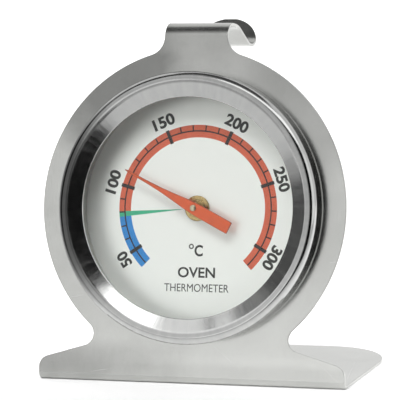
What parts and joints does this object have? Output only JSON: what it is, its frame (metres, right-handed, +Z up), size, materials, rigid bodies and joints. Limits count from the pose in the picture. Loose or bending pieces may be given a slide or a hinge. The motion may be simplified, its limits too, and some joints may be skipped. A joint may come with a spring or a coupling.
{
  "type": "oven thermometer",
  "caption": "Free-standing dial oven thermometer: round bezel and glazed dial in a bent sheet-steel plate with a level foot and a rack hook on top.",
  "frame": {"origin": "centre of the overall box in plan, on the underside of the foot", "axes": "+X to the right as seen from the front, +Y to the back, +Z up; the dial faces -Y and leans back 10 degrees"},
  "size_m": [0.0606, 0.0396, 0.0664],
  "materials": {
    "satin_steel": "satin cold-rolled stainless sheet",
    "polished_steel": "spun and polished stainless",
    "window_glass": "clear flat glass",
    "printed_dial": "satin silver with printed scale",
    "case_steel": "drawn stainless, dull",
    "plain_steel": "plain machined steel",
    "brass": "turned brass",
    "bimetal_strip": "rolled bimetal strip",
    "pointer_red": "red-orange enamel"
  },
  "bodies": {
    "case": {"stand_plate": "satin_steel", "bezel_ring": "polished_steel", "lens": "window_glass", "lens_spacer_ring": "case_steel", "dial_plate": "printed_dial", "dial_support_ring": "case_steel", "rear_case": "case_steel", "dial_bush": "brass", "bush_washer": "plain_steel", "bush_nut": "brass", "coil_bracket": "plain_steel", "coil_clip": "plain_steel", "anchor_rivet": "plain_steel", "bimetal_coil": "bimetal_strip"},
    "pointer_assembly": {"pointer": "pointer_red", "pointer_boss": "brass", "spindle": "plain_steel", "spindle_collar": "plain_steel", "coil_hub": "brass", "spindle_clip": "plain_steel"}
  },
  "joints": [
    {"name": "pointer_turn", "type": "hinge", "parent": "case", "child": "pointer_assembly", "pos_m": [0, -0.01118, 0.0326], "axis": [0, 0.9848, -0.1736], "range_deg": [-72, 198], "deforming": ["bimetal_coil"]}
  ]
}
